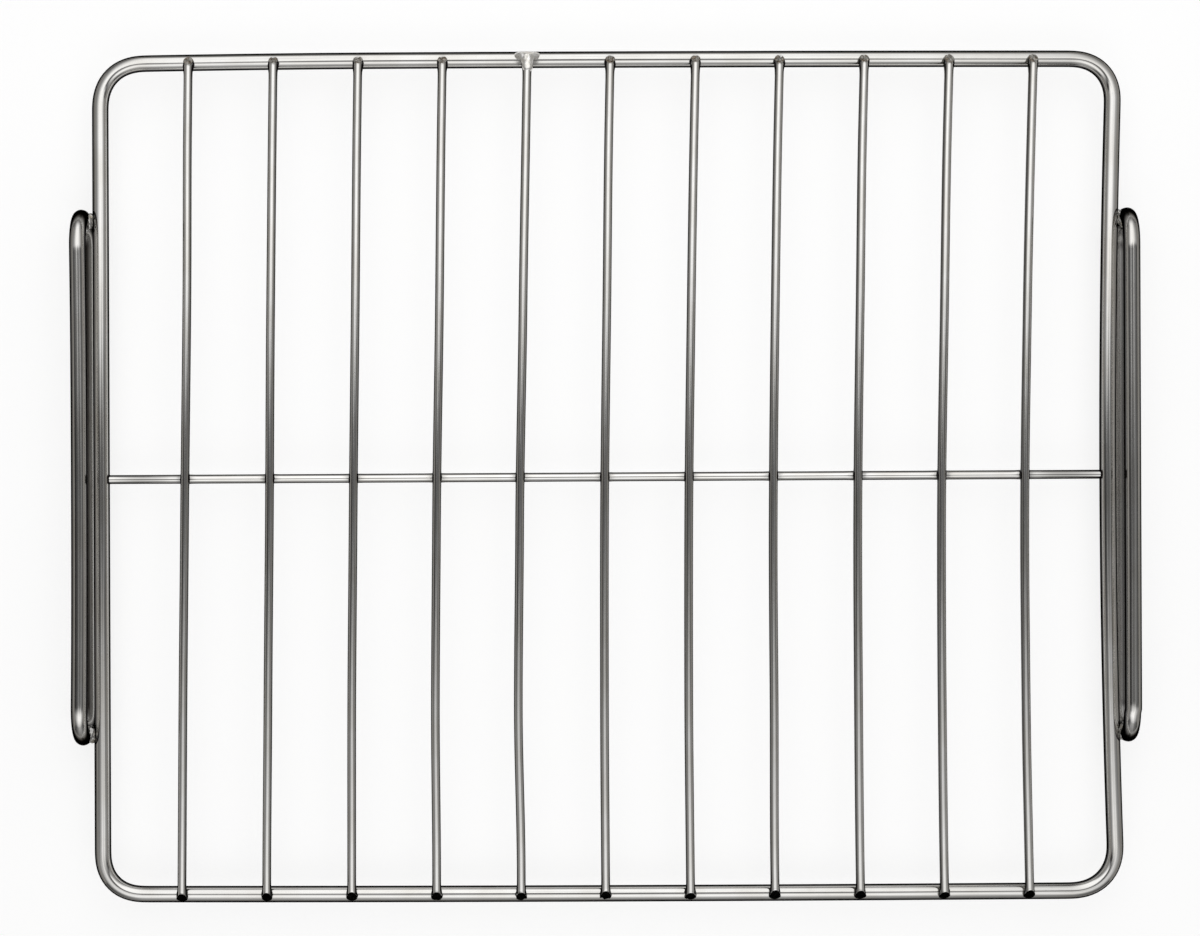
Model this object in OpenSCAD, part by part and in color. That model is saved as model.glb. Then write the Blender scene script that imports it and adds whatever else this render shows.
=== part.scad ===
// Roasting rack: a closed frame of round wire, eleven lighter bars welded across it,
// one tie wire under the middles of the bars, and a standing loop at each end that
// is both foot and handle.
// X runs along the rack, Y from its front to its rear and Z up. It stands on the
// loops, and the origin is on that surface, under the middle of the outline.

/* [Frame] */
// Diameter of the frame's wire
frame_wire_d = 6.35; // [5:0.05:8]
// Length of the frame, outside to outside
frame_l = 398.1; // [330:0.1:480]
// Width of the frame, outside to outside
frame_w = 329; // [270:0.1:400]
// Bend radius of the left corners, to the middle of the wire
left_corner_r = 12.5; // [8:0.5:30]
// Bend radius of the right corners, to the middle of the wire
right_corner_r = 14; // [8:0.5:30]
// How far the tie wire has pulled the right side inward
pull = 2.4; // [0.2:0.1:5]
// Share of a pulled wire that is its straight middle run
middle_share = 0.42; // [0.2:0.02:0.6]

/* [Grid bars] */
// Number of bars
bar_count = 11; // [7:1:13]
// Diameter of a bar
bar_d = 3.4; // [2.6:0.1:4.4]
// From the left side to the middle of the first bar
first_space = 32.85; // [25:0.05:40]
// From the middle of the last bar to the right side
last_space = 33.5; // [25:0.05:40]
// How far the first bar leans to the right at its rear end
first_lean = 3.8; // [0:0.1:6]
// How far the last bar leans to the right at its rear end
last_lean = 2.6; // [0:0.1:6]
// How deep the welds sink a bar into the frame's wire
set_down = 0.4; // [0.1:0.05:0.8]
// How far the rear tips reach past the middle of the frame's wire
rear_reach = -0.6; // [-1.2:0.1:1.5]
// How far the front tips reach past the middle of the frame's wire
front_reach = 1.6; // [-1.2:0.1:2]
// Slope of the cropped rear ends, away from square
rear_crop = 26; // [0:1:50]
// Slope of the cropped front ends, away from square
front_crop = 44; // [0:1:50]
// Metal squeezed out on each side of a wire at its welds
flash = 0.6; // [0.2:0.1:1]

/* [Tie wire] */
// Diameter of the tie wire
tie_d = 3.5; // [2.6:0.1:4.4]
// Place of the tie wire, measured from the middle of the frame
tie_y = -0.35; // [-40:0.05:40]
// How deep the tie wire is sunk into the bars
tie_set_down = 0.3; // [0.1:0.05:0.8]

/* [Standing loops] */
// Diameter of the loops' wire
loop_wire_d = 6.35; // [5:0.05:8]
// Length of a loop, outside to outside
loop_l = 207; // [140:1:240]
// Height of a loop, outside to outside
loop_h = 28.35; // [24:0.05:45]
// Gap between the left loop and the frame, bridged by its welds
left_gap = 0.9; // [0.1:0.05:1.5]
// Gap between the right loop and the frame, bridged by its welds
right_gap = 0.1; // [0.1:0.05:1.5]

/* [Welds] */
// Radius of the beads that carry the loops
bead_r = 2.4; // [2:0.1:3]
// Number of ripples in a bead
bead_ripples = 3; // [2:1:5]
// Distance from one ripple to the next
ripple_step = 1.5; // [1:0.1:2]
// Bar whose rear tip is buried in the weld that closes the frame
joint_bar = 5; // [2:1:6]
// Radius of the lumps of that weld
joint_r = 3.1; // [2.8:0.1:3.6]
// Number of lumps in that weld
joint_lumps = 3; // [2:1:4]
// Distance from one lump to the next
joint_step = 1.2; // [0.8:0.1:2]

/* [Hidden] */
wire_facets = 48;    // facets round a wire
knuckle = 0.05;      // how much thicker than the wire the ball in a slight bend is
stop_short = 0.2;    // how far short of that ball's middle the wires end

// The frame's wire in plan, with its middle at the origin
half_l = (frame_l - frame_wire_d) / 2;
half_w = (frame_w - frame_wire_d) / 2;
left_reach = half_w - left_corner_r;
right_reach = half_w - right_corner_r;

// The middle of the right side's wire. It runs inward from both corners to a straight
// middle run.
right_slope = pull / (right_reach * (1 - middle_share));
function right_x(y) =
    half_l - min(pull, (right_reach - abs(y)) * right_slope);

// Heights, measured from the middle of the frame's wire
bar_z = (frame_wire_d + bar_d) / 2 - set_down;
tie_z = bar_z - (bar_d + tie_d) / 2 + tie_set_down;

// Place, lean and inward pull of each bar. The tie wire pulls them as it pulls the
// right side, in proportion to how far along it they are.
function share(i) = (i - 1) / (bar_count - 1);
function bar_x(i) =
    -half_l + first_space + share(i) * (2 * half_l - first_space - last_space);
function bar_lean(i) = first_lean + share(i) * (last_lean - first_lean);
function bar_pull(i) = pull * (bar_x(i) + half_l) / (2 * half_l);
function bar_rear(i) = [bar_x(i) + bar_lean(i) / 2, half_w + rear_reach];
function bar_front(i) = [bar_x(i) - bar_lean(i) / 2, -half_w - front_reach];

// Loops: the bend at each end and the place along the rack
bend_r = (loop_h - loop_wire_d) / 2;
bend_y = loop_l / 2 - loop_wire_d / 2 - bend_r;
weld_y = bend_y + bend_r;
wires_apart = (frame_wire_d + loop_wire_d) / 2;
left_loop_x = -half_l - wires_apart - left_gap;
right_loop_x = right_x(weld_y) + wires_apart + right_gap;

// From the middle of the frame to the middle of the outline, and up from the floor
outline_x = (left_loop_x + right_loop_x) / 2;
stand_z = loop_h / 2;

function bar_name(i) = str("grid_bar_", i < 10 ? "0" : "", i);

// Round wire along a straight line between two points in plan
module straight_wire(from, to, d) {
    run = to - from;
    translate([from.x, from.y, 0])
        rotate([0, 90, atan2(run.y, run.x)])
            cylinder(d = d, h = norm(run), $fn = wire_facets);
}

// Round wire along a quarter circle about the origin, from the X axis to the Y axis
module quarter_bend(r, d) {
    rotate_extrude(angle = 90, $fn = 2 * wire_facets)
        translate([r, 0])
            circle(d = d, $fn = wire_facets);
}

// Round wire through points in plan that turns slightly at each inner point
module kinked_wire(points, d) {
    last = len(points) - 1;
    for (k = [1 : last]) {
        along = (points[k] - points[k - 1]) / norm(points[k] - points[k - 1]);
        straight_wire(points[k - 1] + (k > 1 ? along * stop_short : [0, 0]),
            points[k] - (k < last ? along * stop_short : [0, 0]), d);
    }
    for (k = [1 : last - 1])
        translate([points[k].x, points[k].y, 0])
            sphere(d = d + 2 * knuckle, $fn = wire_facets);
}

// Points of a straight wire whose middle run was pulled to the left
function pulled_points(rear, front, reach) =
    let (
        middle = (rear + front) / 2,
        half_run = (rear - front) / 2 * middle_share,
        aside = [-reach, 0]
    )
    [rear, middle + half_run + aside, middle - half_run + aside, front];

// A long side, at the rear for way = 1
module long_side(way) {
    straight_wire([-half_l + left_corner_r, way * half_w],
        [half_l - right_corner_r, way * half_w], frame_wire_d);
}

module left_side() {
    straight_wire([-half_l, -left_reach], [-half_l, left_reach], frame_wire_d);
}

// The pulled side, with a ball at each end too, where it leaves the corner's bend
module right_side() {
    ends = [[half_l, right_reach], [half_l, -right_reach]];
    runs = pulled_points(ends[0], ends[1], pull);
    inset = (runs[0] - runs[1]) / norm(runs[0] - runs[1]) * stop_short;
    kinked_wire([ends[0] - inset, runs[1], runs[2], ends[1] - [inset.x, -inset.y]],
        frame_wire_d);
    for (end = ends)
        translate([end.x, end.y, 0])
            sphere(d = frame_wire_d + 2 * knuckle, $fn = wire_facets);
}

// A short stretch of the right side, to cut what is welded to it there
module right_side_at(y) {
    slope = abs(y) < right_reach * middle_share ? 0 : atan(right_slope) * sign(y);
    stretch = 4 * frame_wire_d;
    translate([right_x(y), y, 0])
        rotate([90, 0, -slope])
            cylinder(d = frame_wire_d, h = stretch, center = true, $fn = wire_facets);
}

// The closed ring
module frame_ring() {
    left_side();
    right_side();
    for (way = [-1, 1])
        long_side(way);
    for (side = [0, 1])
        mirror([0, side, 0]) {
            translate([-half_l + left_corner_r, left_reach, 0])
                rotate([0, 0, 90])
                    quarter_bend(left_corner_r, frame_wire_d);
            translate([half_l - right_corner_r, right_reach, 0])
                quarter_bend(right_corner_r, frame_wire_d);
        }
}

// Metal squeezed out round a weld in a wire
module nugget(x, y, z, d) {
    translate([x, y, z])
        sphere(d = d, $fn = wire_facets);
}

// A rippled lump of weld metal along X, as wide as its ripples
module ripples(r, count, step) {
    run = (count - 1) * step;
    rotate([0, 90, 0])
        rotate_extrude($fn = wire_facets)
            intersection() {
                for (k = [0 : count - 1])
                    translate([0, k * step - run / 2])
                        circle(r = r, $fn = wire_facets);
                translate([0, -run])
                    square([2 * r, 2 * run]);
            }
}

// What a cropping tool takes off beyond a bar's tip, at the rear for way = 1
module crop(tip, slope, way) {
    reach = 4 * bar_d;
    translate([tip.x, tip.y, bar_z - bar_d / 2])
        rotate([way * slope, 0, 0])
            translate([-reach / 2, way > 0 ? 0 : -reach, -reach])
                cube([reach, reach, 2 * reach]);
}

// One bar with its cropped tips and the squeezed metal at its three welds
module bar_blank(i) {
    rear = bar_rear(i);
    front = bar_front(i);
    lean = (rear - front) / norm(rear - front);
    spare = 2 * bar_d * lean;    // cut off again by the cropping
    runs = pulled_points(rear, front, bar_pull(i));
    tie_x = runs[1].x + lean.x * (tie_y - runs[1].y);
    difference() {
        union() {
            translate([0, 0, bar_z])
                kinked_wire([rear + spare, runs[1], runs[2], front - spare], bar_d);
            for (end = [[rear.x, half_w], [front.x, -half_w]])
                nugget(end.x, end.y, frame_wire_d / 2 - flash / 2, bar_d + 2 * flash);
            nugget(tie_x, tie_y, bar_z - bar_d / 2, bar_d + flash);
        }
        crop(rear, rear_crop, 1);
        crop(front, front_crop, -1);
    }
}

// The tie wire runs into both sides, with the metal squeezed out at its ends
module tie_blank() {
    ends = [-half_l, right_x(tie_y)];
    translate([0, tie_y, tie_z])
        straight_wire([ends[0], 0], [ends[1], 0], tie_d);
    for (k = [0, 1])
        nugget(ends[k] + (1 - 2 * k) * frame_wire_d / 2, tie_y, tie_z, tie_d + 2 * flash);
}

// The half-round end of a loop, at the rear for way = 1
module loop_bend(way) {
    translate([0, way * bend_y, 0])
        rotate([90, 0, 90])
            rotate([0, 0, way > 0 ? -90 : 90])
                rotate_extrude(angle = 180, $fn = 2 * wire_facets)
                    translate([bend_r, 0])
                        circle(d = loop_wire_d, $fn = wire_facets);
}

// A standing loop: two straight runs and two half-round ends in an upright plane
module loop_ring() {
    for (way = [-1, 1]) {
        translate([0, 0, way * bend_r])
            straight_wire([0, -bend_y], [0, bend_y], loop_wire_d);
        loop_bend(way);
    }
}

// The bead in the valley between a loop's bend and the frame, at the rear for way = 1
module bead(x, way) {
    translate([x, way * (weld_y - ripple_step / 2), 0])
        rotate([0, 0, 90])
            ripples(bead_r, bead_ripples, ripple_step);
}

// Everything is drawn about the middle of the frame and then stood on its loops
module placed() {
    translate([-outline_x, 0, stand_z])
        children();
}

module frame() {
    color("silver")
        placed()
            frame_ring();
}

module grid_bar(i) {
    color("lightgray")
        placed()
            difference() {
                bar_blank(i);
                long_side(1);
                long_side(-1);
                tie_blank();
            }
}

module tie_wire() {
    color("lightgray")
        placed()
            difference() {
                tie_blank();
                left_side();
                right_side_at(tie_y);
            }
}

module left_loop() {
    color("silver")
        placed()
            translate([left_loop_x, 0, 0])
                loop_ring();
}

module right_loop() {
    color("silver")
        placed()
            translate([right_loop_x, 0, 0])
                loop_ring();
}

module left_weld(way) {
    color("gainsboro")
        placed()
            difference() {
                bead((left_loop_x - half_l) / 2, way);
                left_side();
                translate([left_loop_x, 0, 0])
                    loop_bend(way);
            }
}

module right_weld(way) {
    color("gainsboro")
        placed()
            difference() {
                bead((right_loop_x + right_x(weld_y)) / 2, way);
                right_side_at(way * weld_y);
                translate([right_loop_x, 0, 0])
                    loop_bend(way);
            }
}

// The weld that closes the frame's ring and buries one bar's rear tip
module frame_joint_weld() {
    color("gainsboro")
        placed()
            difference() {
                translate([bar_rear(joint_bar).x, half_w, bar_z - flash])
                    ripples(joint_r, joint_lumps, joint_step);
                long_side(1);
                bar_blank(joint_bar);
            }
}

frame();
for (i = [1 : bar_count])
    grid_bar(i);
tie_wire();
left_loop();
right_loop();
left_weld(1);  // left_rear_weld
left_weld(-1);  // left_front_weld
right_weld(1);  // right_rear_weld
right_weld(-1);  // right_front_weld
frame_joint_weld();
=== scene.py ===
import math

import bmesh
import bpy
import numpy as np
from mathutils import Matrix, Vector, noise


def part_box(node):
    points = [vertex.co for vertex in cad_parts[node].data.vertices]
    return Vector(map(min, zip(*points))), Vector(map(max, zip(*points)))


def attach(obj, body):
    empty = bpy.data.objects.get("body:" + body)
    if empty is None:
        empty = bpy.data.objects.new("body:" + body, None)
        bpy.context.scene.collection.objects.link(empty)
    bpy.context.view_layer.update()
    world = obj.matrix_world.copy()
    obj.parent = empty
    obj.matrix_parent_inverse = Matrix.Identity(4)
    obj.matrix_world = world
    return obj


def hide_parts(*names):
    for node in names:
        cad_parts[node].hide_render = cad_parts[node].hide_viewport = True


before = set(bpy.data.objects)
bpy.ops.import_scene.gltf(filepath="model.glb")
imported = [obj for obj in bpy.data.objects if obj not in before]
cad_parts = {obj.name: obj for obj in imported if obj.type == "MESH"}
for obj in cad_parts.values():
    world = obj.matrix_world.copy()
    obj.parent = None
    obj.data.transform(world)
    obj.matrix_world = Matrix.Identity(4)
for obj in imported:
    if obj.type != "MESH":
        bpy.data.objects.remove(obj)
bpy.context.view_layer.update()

# Everything is in metres, in the rack's own frame: X along it, Y to its rear, Z up.
MM = 0.001
UP = Vector((0, 0, 1))

# Sizes of the CAD model that the wires are rebuilt on
FRAME_L = 398.1 * MM
FRAME_W = 329 * MM
HEAVY_R = 6.35 / 2 * MM
PULL = 2.4 * MM
BARS = 11
BAR_R = 1.7 * MM
FIRST_SPACE = 32.85 * MM
LAST_SPACE = 33.5 * MM
FIRST_LEAN = 3.8 * MM
LAST_LEAN = 2.6 * MM
SET_DOWN = 0.4 * MM
REAR_REACH = -0.6 * MM
FRONT_REACH = 1.6 * MM
TIE_R = 1.75 * MM
TIE_SET_DOWN = 0.3 * MM
LOOP_L = 207 * MM
LOOP_H = 28.35 * MM
JOINT_BAR = 5

# Where the model stands: the middle of the frame's wire in X and Z
FRAME_LOW, FRAME_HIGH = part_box("frame")
MID_X = FRAME_LOW.x + FRAME_L / 2
MID_Z = (FRAME_LOW.z + FRAME_HIGH.z) / 2
HALF_L = FRAME_L / 2 - HEAVY_R
HALF_W = FRAME_W / 2 - HEAVY_R
BAR_Z = MID_Z + HEAVY_R + BAR_R - SET_DOWN
TIE_Z = BAR_Z - BAR_R - TIE_R + TIE_SET_DOWN
BEND_R = LOOP_H / 2 - HEAVY_R
BEND_Y = LOOP_L / 2 - HEAVY_R - BEND_R

# What the photo shows beyond the CAD model. First the frame: corners of its own radii,
# and long sides that belly and droop.
CORNER_R = {
    "rear_right": 14 * MM,
    "rear_left": 14.8 * MM,
    "front_left": 13.6 * MM,
    "front_right": 15.2 * MM,
}
RIGHT_REACH = HALF_W - 14 * MM
BELLY = 0.45 * MM
DROOP = 0.5 * MM
DROOP_FROM = -80 * MM
DROOP_REACH = 97 * MM
# The tie wire runs askew and dips to the frame at its ends.
TIE_ENDS_Y = (-0.5 * MM, 0.15 * MM)
TIE_DIP = 2.1 * MM
TIE_DIP_FROM, TIE_DIP_TO = 30 * MM, 4 * MM
# The loops sag, and each is bent in its own way. The right one shows its joint.
LOOP_SAG = 2.5 * MM
LEFT_LOOP_STRETCH = 0.6 * MM
RIGHT_LOOP_LEAN = -1.15 * MM
SEAM_Y = -89.7 * MM
SEAM_STEP = 0.3 * MM
RIGHT_LOOP_BOW = 0.75 * MM
# The bars' tips reach past those of the CAD model and are cropped at these angles.
REAR_TIP = 1.7 * MM
FRONT_TIP = 0.5 * MM
REAR_CROP = math.radians(45)
FRONT_CROP = math.radians(48)
REAR_CROP_VARIES, FRONT_CROP_VARIES = 0.2, 0.15
# Sideways bends of each bar in mm, from its rear to its front
BEND_PLACES = (160, 135, 65, -19, -88, -150, -163)
BAR_BENDS = (
    (-0.10, 0.29, 0.10, -0.02, 0.02),
    (0.13, 0.19, 0.40, 0.27, 0.08),
    (0.27, 0.44, 0.29, 0.12, 0.21),
    (0.31, 0.48, 0.06, -0.13, 0.33),
    (0.50, 0.33, -0.27, -0.62, 0.33),
    (-0.02, 0.25, 0.04, 0.13, 0.23),
    (0.37, 0.39, 0.13, 0.15, 0.31),
    (0.25, 0.40, 0.29, 0.58, 0.25),
    (0.40, 0.73, 0.50, 0.65, 0.56),
    (0.62, 0.85, 0.40, 0.42, 0.33),
    (0.50, 0.42, 0.08, 0.31, 0.52),
)
# Metal squeezed out at a bar's welds: how far, and over what reach along the bar
FRONT_FLASH = (0.85 * MM, 2.6 * MM)
REAR_FLASH = (0.75 * MM, 2.0 * MM)
REAR_FLASH_IN = 2.4 * MM
CROSS_FLASH = (0.40 * MM, 1.5 * MM)
TIE_FLASH = (0.38 * MM, 2.2 * MM)
BURR = 0.10 * MM
BURR_REACH = 0.5 * MM
# Unevenness of a bar's cropped faces
FRONT_FACE, REAR_FACE = 0.15 * MM, 0.45 * MM

# How finely the wires are meshed
HEAVY_SIDES = 44
LIGHT_SIDES = 32
RUN_STEP = 1 * MM
CORNER_STEPS = 14
BEND_STEPS = 20
TIE_STEPS = 400
BAR_STEP = 2.0 * MM
BAR_FINE_STEP, BAR_FINE_REACH = 0.3 * MM, 4 * MM
TIP_STEP = 0.05 * MM
FRAME_PASSES, LOOP_PASSES = 10, 3

# Where the weld beads sit on the loops and the frame
BEAD_Y = 99.6 * MM
# Heat tint and dark marks round the welds: how far they reach. The dark marks are partly weld
# soot and partly painted shade: painted contact shadow where the bars meet the frame and the tie,
# painted shade in the hollows under the joint's arms, and a painted dark outline round the bars'
# rear tips.
FRAME_FOOT_HEAT = 4 * MM
FRAME_BEAD_HEAT = 7 * MM
FRAME_REAR_CONTACT_SHADE, FRAME_FRONT_CONTACT_SHADE = 1.0 * MM, 1.4 * MM
HOLLOW_SHADE_REACH = 1.2 * MM
BAR_REAR_HEAT, BAR_FRONT_HEAT, BAR_CROSS_HEAT = 5 * MM, 6 * MM, 4 * MM
BAR_REAR_SOOT_AND_SHADE, BAR_FRONT_SOOT_AND_SHADE, BAR_CROSS_SOOT_AND_SHADE = 0.9 * MM, 1.5 * MM, 1.5 * MM
RIM_SHADE, RIM_SHADE_STRENGTH = 0.4 * MM, 0.8
TIE_HEAT, TIE_SOOT_AND_SHADE = 4 * MM, 2.4 * MM
LOOP_HEAT, LOOP_SOOT = 6 * MM, 2 * MM
# Painted shade on the loops' lower runs, in the gap under their upper runs: (offset to the right,
# reach, strength)
LEFT_PAINTED_SHADE = ((0.4 * MM, 1.9 * MM, 1.0), (-1.5 * MM, 1.9 * MM, 1.0))
RIGHT_PAINTED_SHADE = ((0, 5 * MM, 0.55),)
PAINTED_SHADE_HALF_MM = 97
# Painted shade on the outer ends of their upper bends
BEND_SHADE_Y, BEND_SHADE_Z = 101.5 * MM, 8 * MM
BEND_SHADE_REACH, BEND_SHADE_STRENGTH = 4.5 * MM, 0.75


def bell(distance, reach):
    """One at no distance, falling smoothly to nothing past the reach."""
    return math.exp(-((distance / reach) ** 2))


def right_x(y):
    """Middle of the right side's wire, which the tie wire has pulled inward."""
    return MID_X + HALF_L - PULL * max(0, 1 - (y / RIGHT_REACH) ** 2)


def long_y(x, way):
    """Middle of the rear (way 1) or front (way -1) side's wire."""
    y = HALF_W - BELLY * ((x - MID_X) / HALF_L) ** 2
    if way > 0:
        past = max(0, MID_X + DROOP_FROM - x) / DROOP_REACH
        y -= DROOP * past ** 2
    return way * y


def tie_y(x):
    """Middle of the tie wire, which runs slightly askew."""
    share = (x - MID_X + HALF_L) / (2 * HALF_L)
    return TIE_ENDS_Y[0] + (TIE_ENDS_Y[1] - TIE_ENDS_Y[0]) * share


# The camera's place from the rack's middle, and its roll in degrees
CAMERA_X, CAMERA_Y, CAMERA_HEIGHT = -0.0572, 0.0027, 0.880
CAMERA_ROLL = -0.22


def make_camera():
    """Straight above the rack, left of its middle, as in the photograph."""
    data = bpy.data.cameras.new("camera")
    data.sensor_width = 36
    data.lens = 68.22
    data.shift_x = 0.1167
    data.shift_y = 0.0017
    data.clip_start = 0.05
    data.clip_end = 50
    camera = bpy.data.objects.new("camera", data)
    camera.location = (MID_X + CAMERA_X, CAMERA_Y, MID_Z + CAMERA_HEIGHT)
    camera.rotation_euler = (0, 0, math.radians(CAMERA_ROLL))
    bpy.context.scene.collection.objects.link(camera)
    bpy.context.scene.camera = camera


# Meshes

def finish_mesh(name, mesh, materials, node):
    """Links a mesh as the piece of the rack that stands for a CAD node."""
    piece = bpy.data.objects.new(name, mesh)
    bpy.context.scene.collection.objects.link(piece)
    for material in materials:
        mesh.materials.append(material)
    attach(piece, "root")
    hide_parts(node)
    return piece


def stain(mesh, name, spots):
    """Stores how strongly a mesh is marked. Spots are (point, reach, strength)."""
    points = np.empty(len(mesh.vertices) * 3)
    mesh.vertices.foreach_get("co", points)
    points = points.reshape(-1, 3)
    marks = np.zeros(len(points))
    for spot, reach, strength in spots:
        away = ((points - np.array(spot)) ** 2).sum(axis=1)
        marks = np.maximum(marks, strength * np.exp(-away / reach ** 2))
    layer = mesh.attributes.new(name, "FLOAT", "POINT")
    layer.data.foreach_set("value", marks)


def mark_outer(mesh):
    """Stores how far each point of the frame or of a loop faces away from the rack. The steel
    uses it to move its painted shade band higher on outward flanks.
    """
    layer = mesh.attributes.new("outer", "FLOAT", "POINT")
    for v in mesh.vertices:
        away = Vector((((v.co.x - MID_X) / HALF_L) ** 5, (v.co.y / HALF_W) ** 5))
        layer.data[v.index].value = away.normalized().dot(v.normal.xy)


def cap(bm, row, turn, depth, material_index):
    """Closes a ring with a slightly uneven face, as a cropper leaves it."""
    middle = sum((v.co for v in row), Vector()) / len(row)
    normal = (row[0].co - middle).cross(row[len(row) // 4].co - middle).normalized()
    last = 1.0
    for share in (0.9, 0.6, 0.3):
        inner = []
        for v in row:
            p = middle + (v.co - middle) * (share / last)
            p += normal * depth * noise.noise(p / MM * 0.9)
            inner.append(bm.verts.new(p))
        last = share
        for j in range(len(row)):
            n = (j + 1) % len(row)
            face = bm.faces.new((row[j], row[n], inner[n], inner[j])[::turn])
            face.material_index = material_index
        row = inner
    tip = bm.verts.new(middle)
    for j in range(len(row)):
        face = bm.faces.new((row[j], row[(j + 1) % len(row)], tip)[::turn])
        face.material_index = material_index


def skin(name, rings, closed):
    """A mesh through rings of points, capped if it is open, with UVs in metres along."""
    bm = bmesh.new()
    uv = bm.loops.layers.uv.new("wire")
    rows = [[bm.verts.new(p) for p in ring] for ring in rings]
    around = len(rings[0])
    middles = [sum(ring, Vector()) / around for ring in rings]
    along = [0.0]
    for a, b in zip(middles, middles[1:] + middles[:1]):
        along.append(along[-1] + (b - a).length)
    for k in range(len(rows) if closed else len(rows) - 1):
        low, high = rows[k], rows[(k + 1) % len(rows)]
        for j in range(around):
            n = (j + 1) % around
            face = bm.faces.new((low[j], low[n], high[n], high[j]))
            face.smooth = True
            spots = ((j, k), (j + 1, k), (j + 1, k + 1), (j, k + 1))
            for loop, (u, v) in zip(face.loops, spots):
                loop[uv].uv = (u / around, along[v])
    if not closed:
        cap(bm, rows[0], -1, FRONT_FACE, 1)
        cap(bm, rows[-1], 1, REAR_FACE, 2)
    bmesh.ops.recalc_face_normals(bm, faces=bm.faces)
    mesh = bpy.data.meshes.new(name)
    bm.to_mesh(mesh)
    bm.free()
    return mesh


def swept_rings(path, up, radius, sides, closed, swell=None):
    """Rings round a path that lies in the plane square to up."""
    rings = []
    last = len(path) - 1
    for k, middle in enumerate(path):
        before = path[k - 1] if closed or k > 0 else path[0]
        after = path[(k + 1) % len(path)] if closed or k < last else path[last]
        side = (after - before).normalized().cross(up).normalized()
        ring = []
        for j in range(sides):
            angle = 2 * math.pi * j / sides - math.pi / 2
            reach = side * math.cos(angle) + up * math.sin(angle)
            extra = swell(middle, reach) if swell else 0
            ring.append(middle + reach * (radius + extra))
        rings.append(ring)
    return rings


def arc(centre, radius, start, sweep, steps):
    """Points of an arc in plan, without its last one."""
    points = []
    for k in range(steps):
        angle = math.radians(start + sweep * k / steps)
        points.append(
            (centre[0] + radius * math.cos(angle), centre[1] + radius * math.sin(angle)))
    return points


def soften(points, passes):
    """A closed path with its slight kinks rounded off."""
    for _ in range(passes):
        points = [
            (points[k - 1] + points[k] * 2 + points[(k + 1) % len(points)]) / 4
            for k in range(len(points))
        ]
    return points


def run(start, end, place):
    """Points a step apart from start to end, without the last one."""
    count = round(abs(end - start) / RUN_STEP)
    return [place(start + (end - start) * k / count) for k in range(count)]


def frame_path():
    """The closed ring of the frame's wire, counter-clockwise from its rear right corner."""
    r = CORNER_R
    left, right = MID_X - HALF_L, MID_X + HALF_L
    ends = {
        "rear_right": right - r["rear_right"],
        "rear_left": left + r["rear_left"],
        "front_left": left + r["front_left"],
        "front_right": right - r["front_right"],
    }
    turn = {}
    for name, x in ends.items():
        way = 1 if "rear" in name else -1
        turn[name] = (x, long_y(x, way) - way * r[name])
    plan = arc(turn["rear_right"], r["rear_right"], 0, 90, CORNER_STEPS)
    plan += run(ends["rear_right"], ends["rear_left"], lambda x: (x, long_y(x, 1)))
    plan += arc(turn["rear_left"], r["rear_left"], 90, 90, CORNER_STEPS)
    plan += run(turn["rear_left"][1], turn["front_left"][1], lambda y: (left, y))
    plan += arc(turn["front_left"], r["front_left"], 180, 90, CORNER_STEPS)
    plan += run(ends["front_left"], ends["front_right"], lambda x: (x, long_y(x, -1)))
    plan += arc(turn["front_right"], r["front_right"], 270, 90, CORNER_STEPS)
    plan += run(turn["front_right"][1], turn["rear_right"][1], lambda y: (right_x(y), y))
    return soften([Vector((x, y, MID_Z)) for x, y in plan], FRAME_PASSES)


def loop_path(x, lean, bow, stretch, step):
    """The closed ring of a standing loop at x. Its upper run sags in the middle and is
    moved sideways by lean and there by bow, its rear end is stretched, and its joint
    leaves a step."""
    path = []
    for way in (1, -1):
        path += run(
            -BEND_Y * way, BEND_Y * way, lambda y: Vector((x, y, MID_Z + way * BEND_R)))
        for k in range(BEND_STEPS):
            angle = math.pi * k / BEND_STEPS
            y = way * (BEND_Y + BEND_R * math.sin(angle))
            path.append(Vector((x, y, MID_Z + way * BEND_R * math.cos(angle))))
    for point in path:
        high = max(0, (point.z - MID_Z) / BEND_R)
        waist = high * (1 - min(1, abs(point.y) / BEND_Y) ** 2.5)
        point.x += lean * high + bow * waist
        point.z -= LOOP_SAG * waist
        point.y += stretch * max(0, point.y / BEND_Y)
    path = soften(path, LOOP_PASSES)
    for point in path:
        if point.z > MID_Z and point.y < SEAM_Y:
            point.x -= step
    return path


def bar_place(i):
    """Rear tip, front tip and pull of a bar, in plan."""
    share = (i - 1) / (BARS - 1)
    x = MID_X - HALF_L + FIRST_SPACE + share * (2 * HALF_L - FIRST_SPACE - LAST_SPACE)
    lean = FIRST_LEAN + share * (LAST_LEAN - FIRST_LEAN)
    pull = PULL * (x - MID_X + HALF_L) / (2 * HALF_L)
    rear = Vector((x + lean / 2, HALF_W + REAR_REACH))
    front = Vector((x - lean / 2, -HALF_W - FRONT_REACH))
    return rear, front, pull


def bar_bend(i, y):
    """Sideways bend of a bar at y, smooth between the places where it was measured."""
    measured = BAR_BENDS[i - 1]
    bends = (measured[0],) + measured + (measured[-1],)
    y = min(max(y / MM, BEND_PLACES[-1]), BEND_PLACES[0])
    for k in range(len(bends) - 1):
        high, low = BEND_PLACES[k], BEND_PLACES[k + 1]
        if y >= low:
            t = (y - low) / (high - low)
            t = t * t * (3 - 2 * t)
            return (bends[k + 1] + (bends[k] - bends[k + 1]) * t) * MM
    return bends[-1] * MM


def bar_middle(i, y):
    """X of the middle of a bar at y."""
    rear, front, pull = bar_place(i)
    share = (y - front.y) / (rear.y - front.y)
    x = front.x + (rear.x - front.x) * share - pull * (1 - (2 * share - 1) ** 2)
    return x + bar_bend(i, y)


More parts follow.
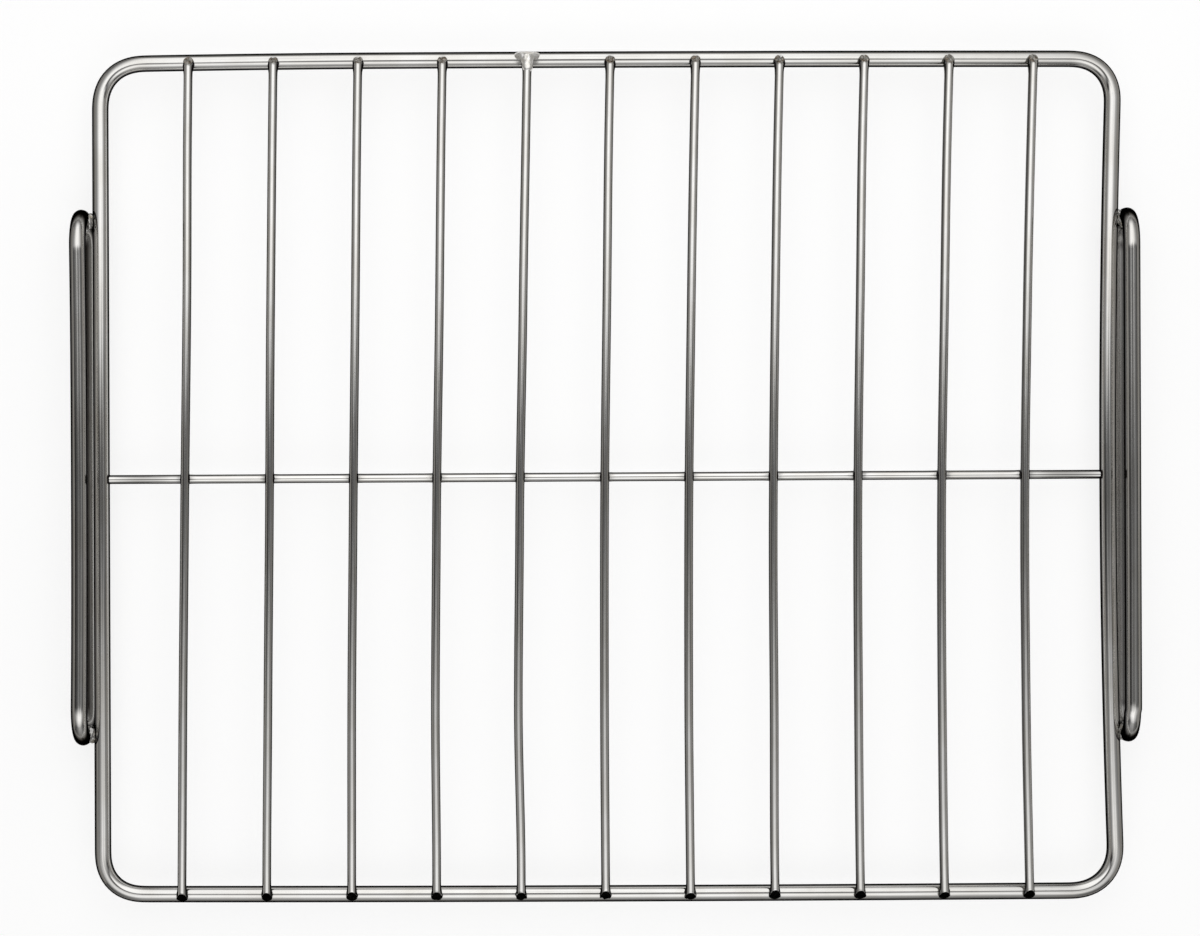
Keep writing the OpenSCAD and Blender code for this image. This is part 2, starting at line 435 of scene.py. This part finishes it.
def bar_rings(i):
    """Rings of a bar, slanted to its cropped tips, with squeezed metal at its welds."""
    rear, front, _ = bar_place(i)
    seed = Vector((i * 3.7, 1.3, 0.4))
    rear_slope = math.tan(REAR_CROP * (1 + REAR_CROP_VARIES * noise.noise(seed)))
    front_slope = math.tan(FRONT_CROP * (1 + FRONT_CROP_VARIES * noise.noise(seed * 2)))
    cross_y = tie_y(bar_middle(i, 0))
    length = rear.y - front.y
    places = [0.0, TIP_STEP]
    while places[-1] < length - TIP_STEP:
        y = front.y + places[-1]
        near = min(abs(y - w) for w in (-HALF_W, cross_y, HALF_W))
        places.append(places[-1] + (BAR_FINE_STEP if near < BAR_FINE_REACH else BAR_STEP))
    places = places[:-1] + [length - TIP_STEP, length]
    rings = []
    for place in places:
        ring = []
        for j in range(LIGHT_SIDES):
            angle = 2 * math.pi * j / LIGHT_SIDES - math.pi / 2
            down = min(1, max(0, 0.45 - math.sin(angle)))
            height = BAR_R * (1 + math.sin(angle))
            low = front.y - FRONT_TIP + height * front_slope
            high = rear.y + REAR_TIP - height * rear_slope
            y = low + (high - low) * place / length
            flash = FRONT_FLASH[0] * bell(y + HALF_W, FRONT_FLASH[1])
            flash += REAR_FLASH[0] * bell(y - HALF_W + REAR_FLASH_IN, REAR_FLASH[1])
            flash += CROSS_FLASH[0] * bell(y - cross_y, CROSS_FLASH[1])
            spot = Vector((math.cos(angle), math.sin(angle), y / MM * 0.7)) + seed
            burr = BURR * (bell(place, BURR_REACH) + bell(length - place, BURR_REACH))
            radius = BAR_R + flash * down * (1 + 0.7 * noise.noise(spot))
            radius += burr * noise.noise(spot * 2.1)
            ring.append(Vector((
                bar_middle(i, y) + radius * math.cos(angle),
                y,
                BAR_Z + radius * math.sin(angle),
            )))
        rings.append(ring)
    return rings


def blob(name, centre, lumps, bumps, bump_size):
    """A skin round soft lumps that flow together. Lumps are (offset, radii), in mm."""
    bm = bmesh.new()
    bmesh.ops.create_icosphere(bm, subdivisions=5, radius=1)
    fall = math.log(2)

    def inside(p):
        total = 0
        for offset, radii in lumps:
            away = sum(((p[k] - offset[k]) / radii[k]) ** 2 for k in range(3))
            total += math.exp(-fall * away)
        return total > 0.5

    for v in bm.verts:
        way = v.co.normalized()
        low, high = 0.0, 14.0
        for _ in range(22):
            half = (low + high) / 2
            if inside(way * half):
                low = half
            else:
                high = half
        p = way * low
        p += way * bumps * noise.fractal(p / bump_size + centre / MM, 0.9, 2.0, 4)
        v.co = centre + p * MM
    for face in bm.faces:
        face.smooth = True
    bmesh.ops.smooth_vert(
        bm, verts=bm.verts, factor=0.4, use_axis_x=True, use_axis_y=True, use_axis_z=True)
    mesh = bpy.data.meshes.new(name)
    bm.to_mesh(mesh)
    bm.free()
    return mesh


# Materials

def ramp(tree, source, stops):
    """A colour ramp through (position, colour) stops, in order."""
    node = tree.nodes.new("ShaderNodeValToRGB")
    steps = node.color_ramp.elements
    steps.remove(steps[1])
    steps[0].position = stops[0][0]
    steps[0].color = (*stops[0][1], 1)
    for position, colour in stops[1:]:
        steps.new(position).color = (*colour, 1)
    tree.links.new(source, node.inputs["Fac"])
    return node.outputs["Color"]


def spread(tree, source, low, high, start=0.0, end=1.0):
    """Maps a value from start..end to low..high."""
    node = tree.nodes.new("ShaderNodeMapRange")
    node.inputs["From Min"].default_value = start
    node.inputs["From Max"].default_value = end
    node.inputs["To Min"].default_value = low
    node.inputs["To Max"].default_value = high
    tree.links.new(source, node.inputs["Value"])
    return node.outputs["Result"]


def maths(tree, operation, a, b):
    """Two sources, or a source and a number, through a Math node."""
    node = tree.nodes.new("ShaderNodeMath")
    node.operation = operation
    tree.links.new(a, node.inputs[0])
    if isinstance(b, (int, float)):
        node.inputs[1].default_value = b
    else:
        tree.links.new(b, node.inputs[1])
    return node.outputs[0]


def mixed(tree, blend, share, a, b):
    """Two colours through a Mix node. Share is a source or a number, b may be a colour."""
    node = tree.nodes.new("ShaderNodeMix")
    node.data_type = "RGBA"
    node.blend_type = blend
    if isinstance(share, float):
        node.inputs[0].default_value = share
    else:
        tree.links.new(share, node.inputs[0])
    tree.links.new(a, node.inputs[6])
    if isinstance(b, tuple):
        node.inputs[7].default_value = (*b, 1)
    else:
        tree.links.new(b, node.inputs[7])
    return node.outputs[2]


def grain(tree, place, scale, detail=3.0, size=1.0):
    """Noise over a place that is stretched by scale."""
    stretch = tree.nodes.new("ShaderNodeMapping")
    stretch.inputs["Scale"].default_value = scale
    tree.links.new(place, stretch.inputs["Vector"])
    node = tree.nodes.new("ShaderNodeTexNoise")
    node.inputs["Scale"].default_value = size
    node.inputs["Detail"].default_value = detail
    tree.links.new(stretch.outputs["Vector"], node.inputs["Vector"])
    return node.outputs["Fac"]


def mark(tree, name):
    """A mark stored on the mesh."""
    node = tree.nodes.new("ShaderNodeAttribute")
    node.attribute_name = name
    return node.outputs["Fac"]


def grey(value):
    """A neutral colour."""
    return (value, value, value)


def steel(name, lines, roughness, bright, edge, relief):
    """Bright drawn wire: lines along it, heat tint at its welds, and a base colour painted by the
    way the surface faces: a dark band on its flanks between a lighter top and underside, which is
    painted reflection and shade.
    Stored marks darken it further with weld soot and painted shade. Edge is the grey of the
    painted dark band, relief the strength of its bumps."""
    material = bpy.data.materials.new(name)
    material.use_nodes = True
    tree = material.node_tree
    shader = tree.nodes["Principled BSDF"]
    shader.inputs["Metallic"].default_value = 1
    shader.inputs["Specular Tint"].default_value = (0.01, 0.01, 0.01, 1)
    uv = tree.nodes.new("ShaderNodeUVMap")
    uv.uv_map = "wire"
    where = tree.nodes.new("ShaderNodeTexCoord")
    drawn = grain(tree, uv.outputs["UV"], (lines, 14, 1), 4.0)
    hair = grain(tree, uv.outputs["UV"], (lines * 3, 160, 1), 2.0)
    clouds = grain(tree, where.outputs["Object"], (70, 70, 70), 3.0)
    pits = grain(tree, where.outputs["Object"], (1500, 1500, 1500), 2.0)

    # Base colour painted by the way the surface faces: painted reflection and shade, a dark band
    # on the flanks between a lighter top and underside; the stored outer mark moves the band
    # higher on outward flanks.
    facing = tree.nodes.new("ShaderNodeSeparateXYZ")
    tree.links.new(where.outputs["Normal"], facing.inputs["Vector"])
    level = maths(
        tree, "SUBTRACT", facing.outputs["Z"], maths(tree, "MULTIPLY", mark(tree, "outer"), 0.18))
    flank = spread(tree, level, 0, 1, -1, 1)
    base = ramp(tree, flank, (
        (0.30, (0.66, 0.65, 0.63)),
        (0.50, (0.60, 0.59, 0.57)),
        (0.57, (0.40, 0.39, 0.37)),
        (0.63, grey(edge + 0.04)),
        (0.66, grey(edge)),
        (0.75, grey(edge)),
        (0.80, grey(edge + 0.05)),
        (0.825, (0.20, 0.195, 0.185)),
        (0.845, (0.30, 0.29, 0.275)),
        (0.865, tuple(0.8 * c for c in bright)),
        (0.88, bright),
    ))
    base = mixed(tree, "MULTIPLY", 1.0, base, ramp(tree, drawn, (
        (0.30, (0.80, 0.80, 0.81)), (0.48, grey(1.0)), (0.75, (0.93, 0.92, 0.90)))))
    base = mixed(tree, "MULTIPLY", 1.0, base, ramp(tree, clouds, (
        (0.35, (0.93, 0.92, 0.90)), (0.6, grey(1.0)))))
    base = mixed(tree, "MULTIPLY", 1.0, base, ramp(tree, hair, (
        (0.22, grey(0.55)), (0.30, grey(1.0)))))
    heat = maths(tree, "MULTIPLY", mark(tree, "heat"), spread(tree, clouds, 0.3, 1.0, 0.35, 0.65))
    base = mixed(tree, "MULTIPLY", heat, base, (0.86, 0.70, 0.42))
    # Weld soot, painted contact shade and the loops' painted shade, from the stored marks, darken
    # the base.
    soot_and_shade = maths(tree, "MULTIPLY", mark(tree, "soot_and_shade"), spread(tree, pits, 0.55, 1.0, 0.3, 0.6))
    soot_and_shade = maths(tree, "MAXIMUM", soot_and_shade, mark(tree, "painted_shade"))
    base = mixed(tree, "MIX", soot_and_shade, base, (0.018, 0.015, 0.012))
    tree.links.new(base, shader.inputs["Base Color"])

    dull = spread(tree, drawn, roughness - 0.03, roughness + 0.04, 0.3, 0.7)
    dull = maths(tree, "ADD", dull, maths(tree, "MULTIPLY", soot_and_shade, 0.3))
    tree.links.new(dull, shader.inputs["Roughness"])

    height = maths(tree, "ADD", drawn, maths(tree, "MULTIPLY", pits, 0.25))
    bump = tree.nodes.new("ShaderNodeBump")
    bump.inputs["Strength"].default_value = relief
    bump.inputs["Distance"].default_value = 0.010 * MM
    tree.links.new(height, bump.inputs["Height"])
    tree.links.new(bump.outputs["Normal"], shader.inputs["Normal"])
    return material


def cropped_end(name, tear, patch, dullness):
    """The sheared face of a bar's tip, with tear lines and patches. Tear and patch are
    the dark and the pale colour of each."""
    material = bpy.data.materials.new(name)
    material.use_nodes = True
    tree = material.node_tree
    shader = tree.nodes["Principled BSDF"]
    shader.inputs["Metallic"].default_value = 1
    shader.inputs["Specular Tint"].default_value = (0.1, 0.1, 0.1, 1)
    where = tree.nodes.new("ShaderNodeTexCoord")
    tears = grain(tree, where.outputs["Object"], (2600, 500, 500), 3.0)
    patches = grain(tree, where.outputs["Object"], (700, 700, 700), 2.0)
    base = ramp(tree, tears, ((0.35, tear[0]), (0.7, tear[1])))
    base = mixed(tree, "MULTIPLY", 0.8, base, ramp(tree, patches, (
        (0.38, patch[0]), (0.6, patch[1]))))
    tree.links.new(base, shader.inputs["Base Color"])
    tree.links.new(
        spread(tree, patches, dullness - 0.1, dullness + 0.1, 0.3, 0.7),
        shader.inputs["Roughness"])
    bump = tree.nodes.new("ShaderNodeBump")
    bump.inputs["Strength"].default_value = 0.6
    bump.inputs["Distance"].default_value = 0.04 * MM
    tree.links.new(tears, bump.inputs["Height"])
    tree.links.new(bump.outputs["Normal"], shader.inputs["Normal"])
    return material


def weld_metal(name, bright, straw, dullness, sooty):
    """Melted metal: smooth, bright lumps, straw tint, soot specks, and painted shade in its
    hollows where a stored mark says so.
    """
    material = bpy.data.materials.new(name)
    material.use_nodes = True
    tree = material.node_tree
    shader = tree.nodes["Principled BSDF"]
    shader.inputs["Metallic"].default_value = 1
    shader.inputs["Specular Tint"].default_value = (0.05, 0.05, 0.05, 1)
    where = tree.nodes.new("ShaderNodeTexCoord")
    patches = grain(tree, where.outputs["Object"], (420, 420, 420), 4.0)
    specks = grain(tree, where.outputs["Object"], (2200, 2200, 2200), 3.0)
    base = ramp(tree, patches, (
        (0.30, tuple(bright * c for c in straw)),
        (0.45, (bright * 0.94, bright * 0.92, bright * 0.87)),
        (0.60, (bright, bright * 0.985, bright * 0.96)),
    ))
    # Painted shade in the joint's hollows from the stored mark, and soot specks.
    soot_and_shade = maths(tree, "MULTIPLY", mark(tree, "soot_and_shade"), spread(tree, patches, 0.6, 1.0, 0.35, 0.6))
    soot_and_shade = maths(tree, "MAXIMUM", soot_and_shade, spread(tree, specks, 0, sooty, 0.60, 0.72))
    base = mixed(tree, "MIX", soot_and_shade, base, (0.02, 0.014, 0.010))
    tree.links.new(base, shader.inputs["Base Color"])
    dull = spread(tree, specks, dullness - 0.06, dullness + 0.08, 0.3, 0.7)
    dull = maths(tree, "ADD", dull, maths(tree, "MULTIPLY", soot_and_shade, 0.3))
    tree.links.new(dull, shader.inputs["Roughness"])
    bump = tree.nodes.new("ShaderNodeBump")
    bump.inputs["Strength"].default_value = 0.5
    bump.inputs["Distance"].default_value = 0.03 * MM
    tree.links.new(patches, bump.inputs["Height"])
    tree.links.new(bump.outputs["Normal"], shader.inputs["Normal"])
    return material


# Studio

LIGHT_Z = MID_Z + 0.88
LIGHT_FRONT, LIGHT_REAR = -1.3, 1.5
# Brightness of the overhead light from front to rear, with the dark gap of the camera
ALONG = (
    (LIGHT_FRONT, 0.60), (-0.9, 1.0), (-0.55, 1.40), (-0.32, 1.28), (-0.284, 1.10),
    (-0.261, 1.00), (-0.237, 0.92), (-0.214, 0.85), (-0.191, 0.77), (-0.168, 0.69),
    (-0.144, 0.60), (-0.121, 0.51), (-0.098, 0.41), (-0.075, 0.31), (-0.051, 0.21),
    (-0.014, 0.12), (0.000, 0.13), (0.013, 0.20), (0.036, 0.38), (0.059, 0.62),
    (0.082, 0.88), (0.105, 1.08), (0.130, 1.26), (0.160, 1.38), (LIGHT_REAR, 1.40),
)
# How it fades from left to right
ACROSS = (
    (-1.6, 0.20), (-1.2, 0.22), (-0.76, 0.38), (-0.55, 0.62), (-0.36, 0.92), (-0.1, 1.0),
    (0.25, 0.97), (0.45, 0.78), (0.65, 0.52), (0.9, 0.36), (1.3, 0.27), (1.6, 0.24),
)
# How far the gap's rear and front edges are moved outward, from left to right
REAR_EDGE = (
    (-0.33, 0.031), (-0.267, -0.022), (-0.137, 0.024), (-0.073, 0.027), (0.02, 0.055),
    (0.057, 0.062), (0.12, 0.050), (0.187, 0.036), (0.317, -0.007), (0.381, -0.022),
    (0.449, 0.070),
)
FRONT_EDGE = (
    (-0.33, 0.080), (-0.267, -0.034), (-0.137, 0.021), (-0.073, 0.036), (0.057, 0.036),
    (0.187, 0.028), (0.317, -0.005), (0.381, -0.032), (0.449, 0.070),
)
# The least brightness of the overhead light, from left to right
LEAST = ((0.33, 0.0), (0.381, 0.22), (0.449, 0.25), (0.7, 0.18), (1.6, 0.0))
# How the walls brighten from their feet up
REAR_RISE = ((0.26, 0.30), (0.45, 0.75), (0.65, 1.15), (LIGHT_Z, 1.35))
FRONT_RISE = ((0.12, 0.36), (LIGHT_Z, 0.50))


def between(table, place):
    """Value of a table of (place, value) at a place."""
    places, values = zip(*table)
    return float(np.interp(place, places, values))


def panel(name, us, vs, point, level):
    """A glowing grid that the camera doesn't see. It carries its brightness."""
    bm = bmesh.new()
    rows = [[bm.verts.new(point(u, v)) for u in us] for v in vs]
    for low, high in zip(rows, rows[1:]):
        for j in range(len(us) - 1):
            bm.faces.new((low[j], high[j], high[j + 1], low[j + 1]))
    mesh = bpy.data.meshes.new(name)
    bm.to_mesh(mesh)
    bm.free()
    layer = mesh.attributes.new("level", "FLOAT", "POINT")
    layer.data.foreach_set("value", [level(u, v) for v in vs for u in us])
    material = bpy.data.materials.new(name)
    material.use_nodes = True
    tree = material.node_tree
    tree.nodes.clear()
    out = tree.nodes.new("ShaderNodeOutputMaterial")
    glow = tree.nodes.new("ShaderNodeEmission")
    tree.links.new(glow.outputs["Emission"], out.inputs["Surface"])
    tree.links.new(mark(tree, "level"), glow.inputs["Strength"])
    mesh.materials.append(material)
    light = bpy.data.objects.new(name, mesh)
    bpy.context.scene.collection.objects.link(light)
    light.visible_camera = False


def overhead_level(x, y):
    """Brightness of the overhead light."""
    if y > 0:
        y = max(0, y - between(REAR_EDGE, x))
    else:
        y = min(0, y + between(FRONT_EDGE, x))
    return max(between(LEAST, x), between(ALONG, y) * between(ACROSS, x))


FLOOR_GLOW = 0.72
FLOOR_COLOUR = grey(0.40)


def make_floor():
    """Pale floor: its white shows to the camera and in the metal, and it takes shadows."""
    size = 6
    low = -0.05 * MM
    mesh = bpy.data.meshes.new("floor")
    mesh.from_pydata(
        [(-size, -size, low), (size, -size, low), (size, size, low), (-size, size, low)],
        [], [(0, 1, 2, 3)])
    floor = bpy.data.objects.new("floor", mesh)
    bpy.context.scene.collection.objects.link(floor)
    material = bpy.data.materials.new("floor")
    material.use_nodes = True
    tree = material.node_tree
    shader = tree.nodes["Principled BSDF"]
    shader.inputs["Base Color"].default_value = (*FLOOR_COLOUR, 1)
    shader.inputs["Roughness"].default_value = 0.9
    shader.inputs["Specular IOR Level"].default_value = 0
    shader.inputs["Emission Color"].default_value = (1, 1, 1, 1)
    path = tree.nodes.new("ShaderNodeLightPath")
    seen = maths(tree, "MAXIMUM", path.outputs["Is Camera Ray"], path.outputs["Is Glossy Ray"])
    seen = maths(tree, "MAXIMUM", seen, path.outputs["Is Transmission Ray"])
    tree.links.new(maths(tree, "MULTIPLY", seen, FLOOR_GLOW), shader.inputs["Emission Strength"])
    mesh.materials.append(material)


def make_studio():
    """Floor, overhead light, front and rear walls, and a plain grey world."""
    left, right = ACROSS[0][0], ACROSS[-1][0]
    coarse = set(np.linspace(left, right, 25))
    xs = sorted(coarse | set(np.linspace(-0.6, 0.6, 37)))
    ys = sorted(
        set(np.linspace(LIGHT_FRONT, LIGHT_REAR, 29)) | set(np.linspace(-0.2, 0.2, 41)))
    panel("overhead_light", xs, ys, lambda x, y: (x, y, LIGHT_Z), overhead_level)
    for name, y, rise in (
            ("rear_wall", LIGHT_REAR, REAR_RISE), ("front_wall", LIGHT_FRONT, FRONT_RISE)):
        panel(
            name, sorted(coarse), np.linspace(rise[0][0], LIGHT_Z, 9),
            lambda x, z: (x, y, z),
            lambda x, z: between(rise, z) * between(ACROSS, x))
    world = bpy.data.worlds.new("studio")
    world.use_nodes = True
    world.node_tree.nodes["Background"].inputs["Color"].default_value = (0.31, 0.30, 0.285, 1)
    bpy.context.scene.world = world
    make_floor()


# The rack

# Blobs of weld between the loops and the frame: (offset, radii) in mm, for the left
# rear one. The others are mirrored, and differ by their noise.
BEAD_LUMPS = (
    ((-0.1, -0.9, 0.9), (1.6, 2.5, 2.2)),
    ((-0.9, 0.6, 1.9), (1.0, 1.0, 1.1)),
    ((0.3, -1.7, 2.2), (1.0, 1.1, 1.0)),
    ((-0.6, -3.0, 1.6), (0.9, 0.9, 1.0)),
    ((0.8, 1.4, 1.5), (0.9, 1.1, 0.9)),
)
# The T of weld on the frame's joint, from the rear tip of the fifth bar
JOINT_LUMPS = (
    ((-3.0, 1.0, -1.1), (2.2, 1.7, 1.2)),
    ((3.0, 1.0, -1.1), (2.2, 1.7, 1.2)),
    ((0.0, 0.8, 0.1), (2.3, 1.3, 1.0)),
    ((0.0, -0.8, 0.7), (2.0, 1.7, 1.2)),
    ((0.0, -2.8, 1.4), (1.7, 1.5, 1.2)),
    ((0.1, -4.5, 1.7), (1.4, 1.4, 1.1)),
)


def build_rack():
    """All twenty pieces."""
    # Each wire's bright colour is the lit top of its painted shading, and the number after it is
    # the grey of its painted dark flank band.
    heavy = steel("heavy_wire", 46, 0.09, (0.72, 0.712, 0.695), 0.03, 0.35)
    light = steel("light_wire", 26, 0.09, (0.75, 0.742, 0.725), 0.08, 0.35)
    tie = steel("tie_wire", 26, 0.05, (0.82, 0.812, 0.795), 0.08, 0.08)
    # The front cut faces get a near-black copy of the cut-face finish, which is painted shade;
    # the rear ones get a pale grey copy.
    shaded_end = cropped_end(
        "shaded_end", ((0.004, 0.004, 0.004), (0.016, 0.015, 0.013)), (grey(0.4), grey(1.0)), 0.4)
    pale_end = cropped_end(
        "pale_end", ((0.24, 0.23, 0.21), (0.50, 0.49, 0.46)),
        ((0.50, 0.38, 0.28), grey(1.0)), 0.35)
    ends = [shaded_end, pale_end]
    feet, crossings = [], []
    for i in range(1, BARS + 1):
        for y in (long_y(bar_middle(i, HALF_W), 1), long_y(bar_middle(i, -HALF_W), -1)):
            feet.append(Vector((bar_middle(i, y), y, MID_Z + HEAVY_R)))
        x = bar_middle(i, 0)
        crossings.append(Vector((x, tie_y(x), BAR_Z - BAR_R)))

    rings = swept_rings(frame_path(), UP, HEAVY_R, HEAVY_SIDES, True)
    mesh = skin("frame_ring", rings, True)
    left_beads = [(MID_X - HALF_L - HEAVY_R, way * BEAD_Y, MID_Z) for way in (1, -1)]
    right_beads = [(right_x(BEAD_Y) + HEAVY_R, way * BEAD_Y, MID_Z) for way in (1, -1)]
    heat = [(p, FRAME_FOOT_HEAT, 0.5 + noise.noise(p / MM)) for p in feet]
    stain(mesh, "heat", heat + [(p, FRAME_BEAD_HEAT, 1) for p in left_beads + right_beads])
    tip_x = bar_middle(JOINT_BAR, HALF_W)
    # Painted shade in the two hollows under the arms of the joint's weld.
    hollow_shade_spots = [
        (Vector((tip_x + way * 2.9 * MM, HALF_W - 1.4 * MM, MID_Z + 3.0 * MM)), HOLLOW_SHADE_REACH, 1)
        for way in (1, -1)
    ]
    # Painted contact shadow on the frame round each bar's foot.
    soot_and_shade = [(p, FRAME_REAR_CONTACT_SHADE, 1) for p in feet[::2]]
    soot_and_shade += [(p, FRAME_FRONT_CONTACT_SHADE, 1) for p in feet[1::2]]
    stain(mesh, "soot_and_shade", soot_and_shade + hollow_shade_spots)
    mark_outer(mesh)
    finish_mesh("frame_ring", mesh, [heavy], "frame")

    for i in range(1, BARS + 1):
        name = f"bar_{i:02d}"
        rings = bar_rings(i)
        mesh = skin(name, rings, False)
        rear, front = feet[2 * i - 2], feet[2 * i - 1]
        cross = crossings[i - 1]
        stain(mesh, "heat", [
            (rear, BAR_REAR_HEAT, 1), (front, BAR_FRONT_HEAT, 1), (cross, BAR_CROSS_HEAT, 1)])
        # A painted dark outline round the rim of the bar's rear tip, then weld soot and painted
        # contact shadow at the bar's welds.
        rim_shade = [(p, RIM_SHADE, RIM_SHADE_STRENGTH) for p in rings[-1][::3]]
        stain(mesh, "soot_and_shade", rim_shade + [
            (rear, BAR_REAR_SOOT_AND_SHADE, 1), (front, BAR_FRONT_SOOT_AND_SHADE, 1), (cross, BAR_CROSS_SOOT_AND_SHADE, 1)])
        finish_mesh(name, mesh, [light] + ends, f"grid_bar_{i:02d}")

    start, stop = MID_X - HALF_L, right_x(TIE_ENDS_Y[1])
    path = []
    for k in range(TIE_STEPS + 1):
        x = start + (stop - start) * k / TIE_STEPS
        t = (min(x - start, stop - x) - TIE_DIP_FROM) / (TIE_DIP_TO - TIE_DIP_FROM)
        t = min(1, max(0, t))
        path.append(Vector((x, tie_y(x), TIE_Z - TIE_DIP * t * t * (3 - 2 * t))))

    def tie_swell(middle, reach):
        near = min(abs(middle.x - p[0]) for p in crossings)
        lift = min(1, max(0, 0.35 + reach.z))
        flash = TIE_FLASH[0] * lift * bell(near, TIE_FLASH[1])
        return flash * (1 + 0.6 * noise.noise(middle / MM))

    mesh = skin("tie", swept_rings(path, UP, TIE_R, LIGHT_SIDES, False, tie_swell), False)
    stain(mesh, "heat", [(p, TIE_HEAT, 1) for p in crossings])
    # Weld soot and painted contact shadow where the bars cross the tie.
    stain(mesh, "soot_and_shade", [(p, TIE_SOOT_AND_SHADE, 1) for p in crossings])
    finish_mesh("tie", mesh, [tie] + ends, "tie_wire")

    for side, painted_shade, lean, bow, stretch, step in (
            ("left", LEFT_PAINTED_SHADE, 0, 0, LEFT_LOOP_STRETCH, 0),
            ("right", RIGHT_PAINTED_SHADE, RIGHT_LOOP_LEAN, RIGHT_LOOP_BOW, 0, SEAM_STEP)):
        low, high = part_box(f"{side}_loop")
        x = (low.x + high.x) / 2
        path = loop_path(x, lean, bow, stretch, step)
        rings = swept_rings(path, Vector((1, 0, 0)), HEAVY_R, HEAVY_SIDES, True)
        name = f"{side}_ring"
        mesh = skin(name, rings, True)
        beads = left_beads if side == "left" else right_beads
        stain(mesh, "heat", [(p, LOOP_HEAT, 1) for p in beads])
        stain(mesh, "soot_and_shade", [(p, LOOP_SOOT, 1) for p in beads])
        # Painted shade along the loop's lower run, under its upper run, and on the outer ends of
        # its upper bends.
        spots = [
            (Vector((x + across, y * MM, MID_Z - BEND_R + HEAVY_R)), reach, strength)
            for across, reach, strength in painted_shade
            for y in range(-PAINTED_SHADE_HALF_MM, PAINTED_SHADE_HALF_MM + 1)
        ]
        for way in (1, -1):
            bend = Vector((x, way * BEND_SHADE_Y, MID_Z + BEND_SHADE_Z))
            spots.append((bend, BEND_SHADE_REACH, BEND_SHADE_STRENGTH))
        stain(mesh, "painted_shade", spots)
        mark_outer(mesh)
        finish_mesh(name, mesh, [heavy], f"{side}_loop")

    dull_weld = weld_metal("loop_weld", 0.42, (0.66, 0.58, 0.45), 0.20, 0.35)
    white_weld = weld_metal("joint_weld", 0.90, (0.84, 0.80, 0.74), 0.30, 0.0)
    for side, way in (("left", 1), ("right", -1)):
        for end_name, turn in (("rear", 1), ("front", -1)):
            node = f"{side}_{end_name}_weld"
            low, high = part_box(node)
            lumps = [
                (tuple(o * s for o, s in zip(offset, (way, turn, 1))), radii)
                for offset, radii in BEAD_LUMPS
            ]
            mesh = blob(f"{side}_{end_name}_bead", (low + high) / 2, lumps, 0.3, 1.1)
            finish_mesh(mesh.name, mesh, [dull_weld], node)
    centre = Vector((tip_x, HALF_W, MID_Z + 3.4 * MM))
    mesh = blob("joint_bead", centre, JOINT_LUMPS, 0.2, 2.0)
    # Painted shade in the hollows under the joint's arms.
    stain(mesh, "soot_and_shade", hollow_shade_spots)
    finish_mesh("joint_bead", mesh, [white_weld], "frame_joint_weld")


make_camera()
build_rack()
make_studio()
bpy.context.scene.view_settings.view_transform = "Standard"
